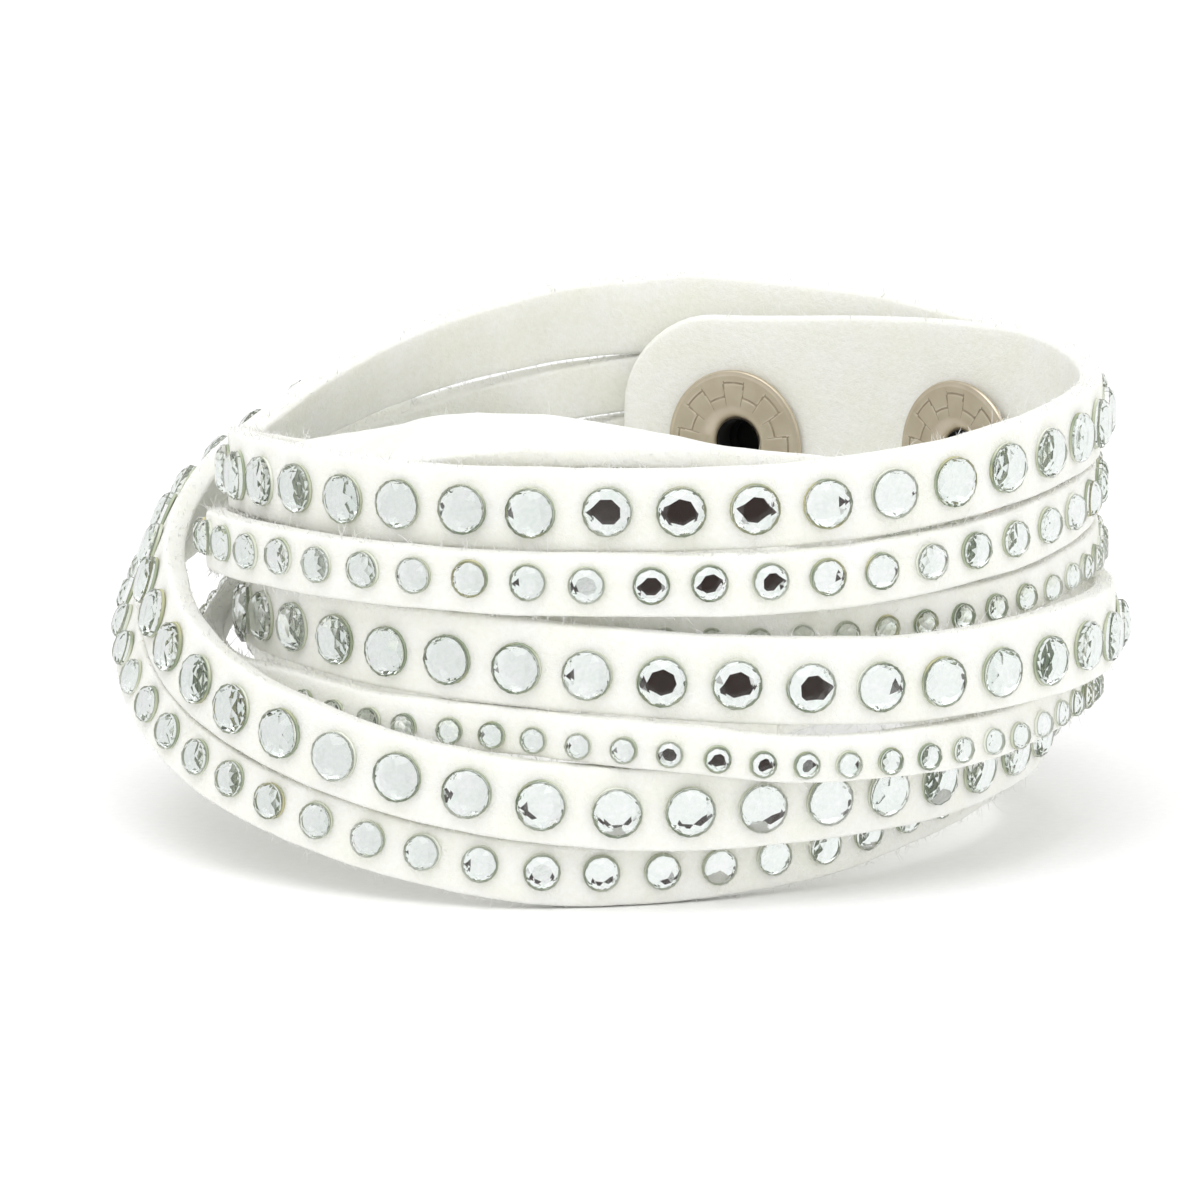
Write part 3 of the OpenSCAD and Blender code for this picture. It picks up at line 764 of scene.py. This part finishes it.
def stone_angles(k, pitch, first_angle):
    """Turn angles of strand k's stones: each step is a guess, scaled to pitch mm of length."""
    angles = [first_angle]
    guess = math.degrees(pitch / GUESS_R)
    while angles[-1] <= STONES_TO:
        pair = np.array([angles[-1], angles[-1] + guess])
        span = np.linalg.norm(np.diff(place(pair, strand_values(k, pair), 0, STRAP_T), axis=0))
        angles.append(angles[-1] + guess * pitch / span)
    return np.array(angles[:-1])


# %% How each stone sits
GLUE_GAP, TWIST_RISE = 0.1, 2.2
REACH = 2.0  # degrees to each side of a stone, over which the strand's direction is taken
SCATTER, TILT = 0.05, 0.5  # mm and degrees, the spread of work by hand
# Strands 1 and 2 hang slack in the second turn, so their stones look down a little
SLACK_FROM, SLACK_TILT = 440.0, 3.0


def unit(vectors):
    """Each row divided by its length."""
    return vectors / np.linalg.norm(vectors, axis=1, keepdims=True)


def stone_rows(k, pitch, diameter, shift, first_angle, seed):
    """Centres and directions of strand k's stones, one every pitch mm along it.

    A stone is raised by (TWIST_RISE * twist + hollow) * R^2, so that its edge stays clear
    of a strand that twists under it or is hollow along its length.
    """
    angles = stone_angles(k, pitch, first_angle)
    values = strand_values(k, angles)
    before, after = strand_values(k, angles - REACH), strand_values(k, angles + REACH)
    here = place(angles, values, shift, 0)
    behind = place(angles - REACH, before, shift, 0)
    ahead = place(angles + REACH, after, shift, 0)
    up = unit(place(angles, values, shift + 1, 0) - here)
    out = unit(np.cross(up, ahead - behind))
    side = np.cross(up, out)
    length = np.linalg.norm(ahead - behind, axis=1)
    twist = np.abs(np.radians(after[:, 2] - before[:, 2])) / length
    sagitta = np.sum(((ahead + behind) / 2 - here) * out, 1)
    hollow = np.maximum(0, sagitta) / (length / 2)**2
    rise = GLUE_GAP + (TWIST_RISE * twist + hollow) * (diameter / 2) ** 2
    rng = np.random.default_rng(seed)
    jitter = rng.normal(0, SCATTER, (len(angles), 2))
    seat = (place(angles, values, shift, STRAP_T / 2) + out * rise[:, None]
            + side * jitter[:, :1] + up * jitter[:, 1:])
    tilt = np.radians(rng.normal(0, TILT, (len(angles), 2)))
    slack = (angles > SLACK_FROM) & (k < 2)
    tilt[:, 1] -= np.radians(SLACK_TILT) * slack
    out = unit(out + side * tilt[:, :1] + up * tilt[:, 1:])
    spin = rng.uniform(0, 2 * math.pi, (len(angles), 1))
    first = unit(np.cos(spin) * side + np.sin(spin) * up)
    first = unit(first - out * np.sum(first * out, 1, keepdims=True))
    return seat, first, np.cross(out, first), out


# %% Four rows
def set_stones(name, k, pitch, diameter, height, shift, first_angle, seed, node=None):
    """Template points scaled by the stone's radius and height and moved to each seat."""
    seat, first, second, out = stone_rows(k, pitch, diameter, shift, first_angle, seed)
    points, glass, silver = STONE
    size = points * [diameter / 2, diameter / 2, height]
    spread = (seat[:, None] + size[None, :, :1] * first[:, None]
              + size[None, :, 1:2] * second[:, None] + size[None, :, 2:] * out[:, None])
    every = copies(np.vstack([glass, silver]), len(seat), len(points))
    piece = new_piece(name, spread.reshape(-1, 3), every, [CRYSTAL, FOIL], False)
    slots = np.tile(np.r_[np.zeros(len(glass), int), np.ones(len(silver), int)], len(seat))
    piece.data.polygons.foreach_set("material_index", slots)
    if node:
        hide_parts(node)
    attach(piece, "root")
    print(name, len(seat), "stones,", len(every), "faces")
    return seat, first, second, out, diameter


# Columns: piece, strand, pitch, diameter, height, shift across, first angle, seed, CAD node
SEATS = [
    set_stones("cut_stones_upper", 0, 4.52, 3.0, 0.8, 0.0, 83.6, 1, "stones_upper"),
    set_stones("cut_stones_second", 1, 3.69, 2.2, 0.7, 0.2, 83.3, 2, "stones_second"),
    set_stones("cut_stones_lower", 3, 4.52, 3.0, 0.8, -0.25, 82.9, 3, "stones_lower"),
    set_stones("cut_stones_finest", 2, 2.82, 1.6, 0.6, -0.3, 84.4, 4),
]

# %% [markdown]
# ## Glue
# A drop of glue holds each stone, and on most of them a little has crept out from under
# the edge and soaked into the nap. It has yellowed. A low uneven collar round each stone
# shows it, wide on some and hardly there on others.

# %% Glue collars
CREEP, CREEP_MOST = 0.05, 0.2
COLLAR_SIDES = 20
LOBES = [(1, 0.7), (3, 0.3)]  # waves round a collar: how many, and how strong
PHASE = 6.3  # a full turn, for the waves' starts


def glue_collars(seat, first, second, out, diameter, seed):
    """Closed rings: radius R + w(t) at the suede and R + 0.4 w(t) on top, w from sines."""
    rng = np.random.default_rng(seed)
    count = len(seat)
    turn = np.linspace(0, 2 * math.pi, COLLAR_SIDES, endpoint=False)
    creep = rng.uniform(0.0, CREEP, (count, 1))
    uneven = 1.0
    for many, strong in LOBES:
        uneven = uneven + strong * np.sin(many * turn + rng.uniform(0, PHASE, (count, 1)))
    width = np.clip(creep * uneven, 0.0, CREEP_MOST)
    none = 0 * width
    r = diameter / 2
    # Each row is a radius and a level above the stone's back
    rows = [(r + width, none - GLUE_GAP), (r + 0.4 * width, none + 0.09),
            (r - 0.25 + none, none + 0.06), (r - 0.3 + none, none - GLUE_GAP)]
    radius, level = (np.stack(each, 1)[..., None] for each in zip(*rows))
    points = (seat[:, None, None] + out[:, None, None] * level
              + first[:, None, None] * radius * np.cos(turn)[:, None]
              + second[:, None, None] * radius * np.sin(turn)[:, None])
    faces = ring_faces(len(rows), COLLAR_SIDES, True)[:, ::-1]
    return points.reshape(-1, 3), copies(faces, count, len(rows) * COLLAR_SIDES)


collar_shapes = [glue_collars(*row, seed + 40) for seed, row in enumerate(SEATS)]
collars = new_piece("glue_collars", *joined(collar_shapes), GLUE)
flip_if_inside_out(collars)
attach(collars, "root")
print("glue collars:", len(collars.data.vertices), "points")

# %% [markdown]
# ## Ring snaps
# Each snap has four pressed parts: an eyelet whose barrel goes through the inner end, a
# stud on its outer face, a socket ring on the outer end and a plain cap outside. All are
# lathe forms, a short profile turned about the snap's axis. Only the eyelets' wide flanges
# are seen from the front. Their flat face curves down into the open hole, and round it runs
# a shallow pressed line that steps in and out like battlements. The line is cut into the
# lathe's points, and the faces in it and deep in the hole get darker metal as painted shade.

# %% A line pressed into a flange
FACE = STRAP_T / 2 + 0.1
BARREL_R, BORE_D, FLANGE_D, CAP_D = 1.95, 2.8, 9.5, 10.0
STEPS_ROUND = 8  # steps of the pressed line, out and in again
LINE_R, LINE_SWING, LINE_FLAT = 3.5, 0.45, 9  # the line's steps, and how square they are
LINE_W, LINE_DEPTH = 0.08, 0.06


def groove(radius, along, turn):
    """Share of a groove's depth: exp(-(distance / LINE_W)^2) from a line round the flange
    whose radius steps between 3.05 and 3.95 mm. The distance along the radius is divided by
    sqrt(1 + slope^2), so that the line is as wide on its steps as between them."""
    wave = STEPS_ROUND * turn
    step = np.tanh(LINE_FLAT * np.cos(wave))
    line = LINE_R + LINE_SWING * step
    slope = LINE_SWING * (1 - step**2) * LINE_FLAT * np.sin(wave) * STEPS_ROUND / radius
    distance = (radius - line) / np.sqrt(1 + slope**2)
    on_face = (along < -FACE - 0.2) & (radius < FLANGE_D / 2 - 0.2)
    return np.exp(-(distance / LINE_W)**2) * on_face


def pressed_line(radius, along, turn):
    """How far a point moves along the axis: the groove's share of its depth."""
    return LINE_DEPTH * groove(radius, along, turn)


# %% Turning a profile
def rounded(profile, closed=True, radius=0.09, steps=3):
    """Each corner of a profile becomes a small arc: a quadratic curve between two points
    that lie radius mm along the sides from the corner."""
    points = np.array(profile, float)
    result = []
    for i, corner in enumerate(points):
        if not closed and i in (0, len(points) - 1):
            result.append(corner)
            continue
        last, following = points[i - 1], points[(i + 1) % len(points)]
        before = corner + (last - corner) * min(0.4, radius / np.linalg.norm(last - corner))
        after = corner + (following - corner) * min(
            0.4, radius / np.linalg.norm(following - corner))
        for t in np.linspace(0, 1, steps + 1):
            result.append((1 - t)**2 * before + 2 * t * (1 - t) * corner + t**2 * after)
    return result


def darken(piece, snap, inside_r, stem_to):
    """Painted shade: slot 1, near-black, for faces nearer the axis than inside_r or before
    stem_to along it, and slot 2, darker nickel, for those in the groove."""
    centres = np.empty(len(piece.data.polygons) * 3)
    piece.data.polygons.foreach_get("center", centres)
    centre, axis, side, up = snap_frame(snap)
    offset = centres.reshape(-1, 3) / MM - centre
    along, x, y = offset @ axis, offset @ side, offset @ up
    radius = np.hypot(x, y)
    slots = np.where(groove(radius, along, np.arctan2(y, x)) > 0.5, 2, 0)
    slots[(radius < inside_r) | (along < stem_to)] = 1
    piece.data.polygons.foreach_set("material_index", slots)


def lathe(name, profile, snap, node, segments=96, closed=True, lift=None, inside_r=0.0,
          stem_to=-math.inf):
    """A closed profile turned about a snap's axis, in place of its CAD node."""
    points = lathe_points(profile, segments, snap, lift)
    piece = new_piece(name, *merged(points, ring_faces(len(profile), segments, closed)),
                      [NICKEL, HOLE_SHADE, GROOVE_SHADE])
    flip_if_inside_out(piece)
    darken(piece, snap, inside_r, stem_to)
    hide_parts(node)
    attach(piece, "root")
    print(name, len(piece.data.vertices), "points")


# %% Eyelets, studs, sockets and caps
# Profiles: radius, distance along the axis from the middle of the inner end
RIM = -FACE - 0.5  # the flange's face, on the wrist's side
FUNNEL_R = 1.15  # the curve from the face into the hole
FREE_R = BARREL_R + 0.1  # clear of the barrel
# Painted shade of the hole: faces inside these radii get the near-black metal
DARK_IN_EYELET, DARK_IN_STUD = 1.52, 2.3  # radii inside which a face is darkened
flange_face = [(r, RIM) for r in np.linspace(FLANGE_D / 2 - 0.35, 2.75, 38)]
funnel = [(BORE_D / 2 + FUNNEL_R * (1 - math.sin(t)), RIM + FUNNEL_R * (1 - math.cos(t)))
          for t in np.linspace(0.05, math.pi / 2, 14)]
EYELET = rounded([(BORE_D / 2, 1.0), (BARREL_R, 1.0), (BARREL_R, -FACE),
                  (FLANGE_D / 2 - 0.15, -FACE), (FLANGE_D / 2, -FACE - 0.2),
                  (FLANGE_D / 2 - 0.12, -FACE - 0.44)]) + flange_face + funnel
STUD = rounded([(FREE_R, FACE), (4.0, FACE), (4.0, 1.0), (3.8, 1.15), (2.35, 1.15),
                (2.2, 1.4), (2.4, 1.6), (2.2, 1.85), (1.3, 1.85), (1.3, 1.6), (1.75, 1.6),
                (1.75, 1.1), (FREE_R, 1.1)])
SOCKET = rounded([(2.55, 1.25), (4.3, 1.25), (4.5, 1.45), (4.5, LAP - FACE),
                  (FREE_R, LAP - FACE), (FREE_R, 1.95), (2.55, 1.95)])
CAP_RIM, DOME = LAP + FACE + 0.3, 0.7
dome = [(max(CAP_D / 2 * math.cos(t), 1e-5), CAP_RIM + DOME * math.sin(t))
        for t in np.linspace(0, math.pi / 2, 18)]
CAP = [(1e-5, 2.1)] + rounded(
    [(1.0, 2.1), (BARREL_R, 2.1), (BARREL_R, LAP + FACE), (CAP_D / 2 - 0.2, LAP + FACE),
     (CAP_D / 2, LAP + FACE + 0.15), (CAP_D / 2, CAP_RIM - 0.01)],
    closed=False) + dome
for number, snap in enumerate(SNAPS, 1):
    lathe(f"eyelet_{number}", EYELET, snap, f"snap_eyelet_{number}", 360,
          lift=pressed_line, inside_r=DARK_IN_EYELET)
    lathe(f"stud_{number}", STUD, snap, f"snap_stud_{number}", inside_r=DARK_IN_STUD)
    lathe(f"socket_{number}", SOCKET, snap, f"snap_socket_{number}")
    # The end of the cap's stem closes the hole from behind, and it gets the hole's painted shade
    # too
    lathe(f"cap_{number}", CAP, snap, f"snap_cap_{number}", closed=False,
          stem_to=LAP + FACE - 0.1)

# %% [markdown]
# ## Loose fibres
# Cut faux suede sheds a little: short fibres stand out along every edge, and catch the
# light against a dark gap. Real ones are some hundredths of a millimetre thick. Each is
# drawn as a bent, three-sided spike, a little thicker than life so that it shows.

# %% Fibres along the edges
FIBRES_PER_EDGE = 2800
CLEAR_OF_TIPS = 14  # degrees; the tips are drawn in, and no fibre is put there
LOWEST = 0.02  # mm; the lowest fibres lie along the table instead of going into it
LENGTH, SHORTEST, LONGEST = 0.16, 0.05, 1.1
THIN, THICK = 0.013, 0.028
LEAN, SIDEWAYS, CURL = 0.8, 0.6, 0.45  # spreads, as shares of a fibre's length


def edge_fibres(k, edge, count, seed):
    """Roots on an edge of strand k; spike = root + s*length*dir + s^2*bend, three-sided."""
    rng = np.random.default_rng(seed)
    angles = rng.uniform(2, END_A - 2, count)
    if (k, edge) not in ((0, 1), (3, -1)):
        angles = rng.uniform(CUT_FROM + 2, CUT_TO - 2, count)
    angles = angles[(angles > CLEAR_OF_TIPS) & (angles < END_A - CLEAR_OF_TIPS)]
    values = strand_values(k, angles)
    n = len(angles)
    v = rng.uniform(-0.65, 0.65, n)
    u = edge * (WIDTHS[k] / 2 - 0.08)
    root = place(angles, values, u, v)
    ahead = unit(place(angles + 0.5, strand_values(k, angles + 0.5), u, v) - root)
    outward = place(angles, values, u + edge, v) - root
    face_way = place(angles, values, u, v + 1) - root
    lengths = rng.gamma(2.0, LENGTH, (n, 1)).clip(SHORTEST, LONGEST)
    lean = rng.normal(0, LEAN, (n, 1))
    side = rng.normal(0, SIDEWAYS, (n, 1))
    way = unit(outward + lean * ahead + side * face_way)
    curl = rng.normal(0, CURL, (n, 3))
    across_way = unit(np.cross(way, ahead + 0.1))
    third = np.cross(way, across_way)
    thick = rng.uniform(THIN, THICK, (n, 1))
    points = []
    # Two triangles, one just inside the edge and one half-way, and then the point
    for s, share in ((-0.1, 1.0), (0.5, 0.8)):
        centre = root + way * lengths * s + curl * lengths * s**2
        for corner in range(3):
            turn = 2 * math.pi * corner / 3
            points.append(centre + thick * share * (math.cos(turn) * across_way
                                                    + math.sin(turn) * third))
    points.append(root + way * lengths + curl * lengths)
    points = np.stack(points, 1)
    points[..., 2] = np.maximum(points[..., 2], LOWEST)
    point_faces = [(3 + j, 3 + (j + 1) % 3, 6, -1) for j in range(3)]
    spike = np.vstack([ring_faces(2, 3, False), point_faces, [(0, 2, 1, -1)]])
    return points.reshape(-1, 3), copies(spike, n, points.shape[1])


for name, strands in (("edge_fibres_upper", (0, 1)), ("edge_fibres_lower", (2, 3))):
    shapes = [edge_fibres(k, edge, FIBRES_PER_EDGE, 70 + 2 * k + (edge > 0))
              for k in strands for edge in (1, -1)]
    fibres = new_piece(name, *joined(shapes), FIBRE)
    flip_if_inside_out(fibres)
    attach(fibres, "root")
    print(name, len(fibres.data.polygons), "faces")

# %% [markdown]
# ## Floor and light
# The bracelet stands on white paper in a white room, so light comes from all round. The
# room is a white world with one dark patch low behind the camera, where the photographer
# stands: that is what the stones that face the front show in their tables. The floor
# isn't mirrored in the stones, because their tables look past it to the room.

# %% Paper floor
FLOOR_HALF = 1.5  # metres
floor_mesh = bpy.data.meshes.new("paper_floor")
corners = [(x * FLOOR_HALF, y * FLOOR_HALF, 0) for x, y in ((-1, -1), (1, -1), (1, 1), (-1, 1))]
floor_mesh.from_pydata(corners, [], [(0, 1, 2, 3)])
floor = bpy.data.objects.new("paper_floor", floor_mesh)
bpy.context.collection.objects.link(floor)


def white_paper():
    material, tree, place_on = new_material("matt_white_paper")
    tooth = add(tree, "ShaderNodeTexNoise", Vector=place_on, Scale=PER_M / 0.6, Detail=3.0)
    colour = add(tree, "ShaderNodeValToRGB", Fac=tooth,
                 stops=[(0.3, "#fbfbfb"), (0.7, "#ffffff")])
    shader = add(tree, "ShaderNodeBsdfPrincipled", Base_Color=colour, Roughness=1.0,
                 Specular_IOR_Level=0.0)
    add(tree, "ShaderNodeOutputMaterial", Surface=shader)
    return material


floor_mesh.materials.append(white_paper())
floor.visible_glossy = False
floor.visible_transmission = False
print("floor:", floor.name, "of", floor_mesh.materials[0].name)

# %% White room with one dark patch
# An ellipse about a direction to the front, a little right and a little below level
DARK_X, DARK_Z, DARK_HALF_X, DARK_HALF_Z = 0.2, -0.15, 0.46, 0.12
RAGGED, EDGE_FROM, EDGE_TO = 0.7, 1.25, 1.4  # how uneven its outline is, and where it fades
world = bpy.data.worlds.new("white_room")
bpy.context.scene.world = world
world.use_nodes = True
room = world.node_tree
room.nodes.clear()
direction = add(room, "ShaderNodeTexCoord").outputs["Generated"]
axes = add(room, "ShaderNodeSeparateXYZ", Vector=direction)
dx = add(room, "ShaderNodeMath", {"operation": "MULTIPLY_ADD"}, _0=axes.outputs["X"],
         _1=1 / DARK_HALF_X, _2=-DARK_X / DARK_HALF_X)
dz = add(room, "ShaderNodeMath", {"operation": "MULTIPLY_ADD"}, _0=axes.outputs["Z"],
         _1=1 / DARK_HALF_Z, _2=-DARK_Z / DARK_HALF_Z)
pair = add(room, "ShaderNodeCombineXYZ", X=dx, Y=dz)
far = add(room, "ShaderNodeVectorMath", {"operation": "LENGTH"}, _0=pair)
# Its outline is ragged, so that no two stones show the same shape
ragged = add(room, "ShaderNodeTexNoise", Vector=direction, Scale=7.0, Detail=2.0)
edge = add(room, "ShaderNodeMath", {"operation": "MULTIPLY_ADD"}, _0=ragged, _1=RAGGED,
           _2=far.outputs["Value"])
outside = add(room, "ShaderNodeMapRange", {"interpolation_type": "SMOOTHSTEP"}, Value=edge,
              From_Min=EDGE_FROM, From_Max=EDGE_TO)
front = add(room, "ShaderNodeMath", {"operation": "LESS_THAN"}, _0=axes.outputs["Y"], _1=0.0)
back = add(room, "ShaderNodeMath", {"operation": "SUBTRACT"}, _0=1.0, _1=front)
white_share = add(room, "ShaderNodeMath", {"operation": "MAXIMUM"}, _0=outside, _1=back)
room_colour = add(room, "ShaderNodeValToRGB", Fac=white_share,
                  stops=[(0.0, "#3a302e"), (1.0, "#ffffff")])
# The left side of the room is a little darker
fade = add(room, "ShaderNodeMapRange", Value=axes.outputs["X"], From_Min=-0.8, From_Max=-0.1)
leftward = add(room, "ShaderNodeValToRGB", Fac=fade,
               stops=[(0.0, "#ececec"), (1.0, "#ffffff")])
shaded = add(room, "ShaderNodeMix", {"data_type": "RGBA", "blend_type": "MULTIPLY"},
             _0=1.0, _6=room_colour, _7=leftward).outputs[2]
background = add(room, "ShaderNodeBackground", Color=shaded, Strength=0.99)
add(room, "ShaderNodeOutputWorld", Surface=background)
print("room:", world.name, "with", len(room.nodes), "nodes")


# %% Two soft boxes
def soft_box(name, location, target, size, watts):
    """A square area light at location, turned to face target."""
    data = bpy.data.lights.new(name, "AREA")
    data.shape, data.size, data.energy = "SQUARE", size, watts
    light = bpy.data.objects.new(name, data)
    light.location = location
    way = Vector(target) - Vector(location)
    light.rotation_euler = way.to_track_quat("-Z", "Y").to_euler()
    bpy.context.collection.objects.link(light)
    print(name, watts, "W")


soft_box("soft_box_above", (-0.15, -0.35, 0.85), (0, 0, 0), 0.7, 3.0)
soft_box("soft_box_right", (0.8, -0.4, 0.5), (0, 0, 0.01), 0.6, 0.6)

# %% [markdown]
# ## Camera
# The photo looks down by about ten degrees from some way off, with a long lens.

# %% Camera
ELEVATION, DISTANCE = math.radians(10.5), 0.6
FRAME_MM = 74.16  # width of the frame at that distance
SENSOR = 36.0
# The view's middle is this far over the wrist's foot, and then to the left and up
OVER_FOOT, LEFT, UP = 13.0, 1.576, 0.494
look = np.array([0.0, math.cos(ELEVATION), -math.sin(ELEVATION)])
right = np.array([1.0, 0.0, 0.0])
above = np.cross(right, look)
aim = (WRIST_AXIS + [0, 0, OVER_FOOT]) * MM - right * LEFT * MM + above * UP * MM
camera_data = bpy.data.cameras.new("camera")
camera_data.sensor_width = SENSOR
camera_data.lens = SENSOR * DISTANCE / (FRAME_MM * MM)
camera_data.clip_start, camera_data.clip_end = 0.05, 10.0
camera = bpy.data.objects.new("camera", camera_data)
camera.location = aim - look * DISTANCE
camera.rotation_euler = (math.pi / 2 - ELEVATION, 0, 0)
bpy.context.collection.objects.link(camera)
bpy.context.scene.camera = camera
bpy.context.scene.view_settings.view_transform = "Standard"
print("lens, mm:", round(camera_data.lens, 1))
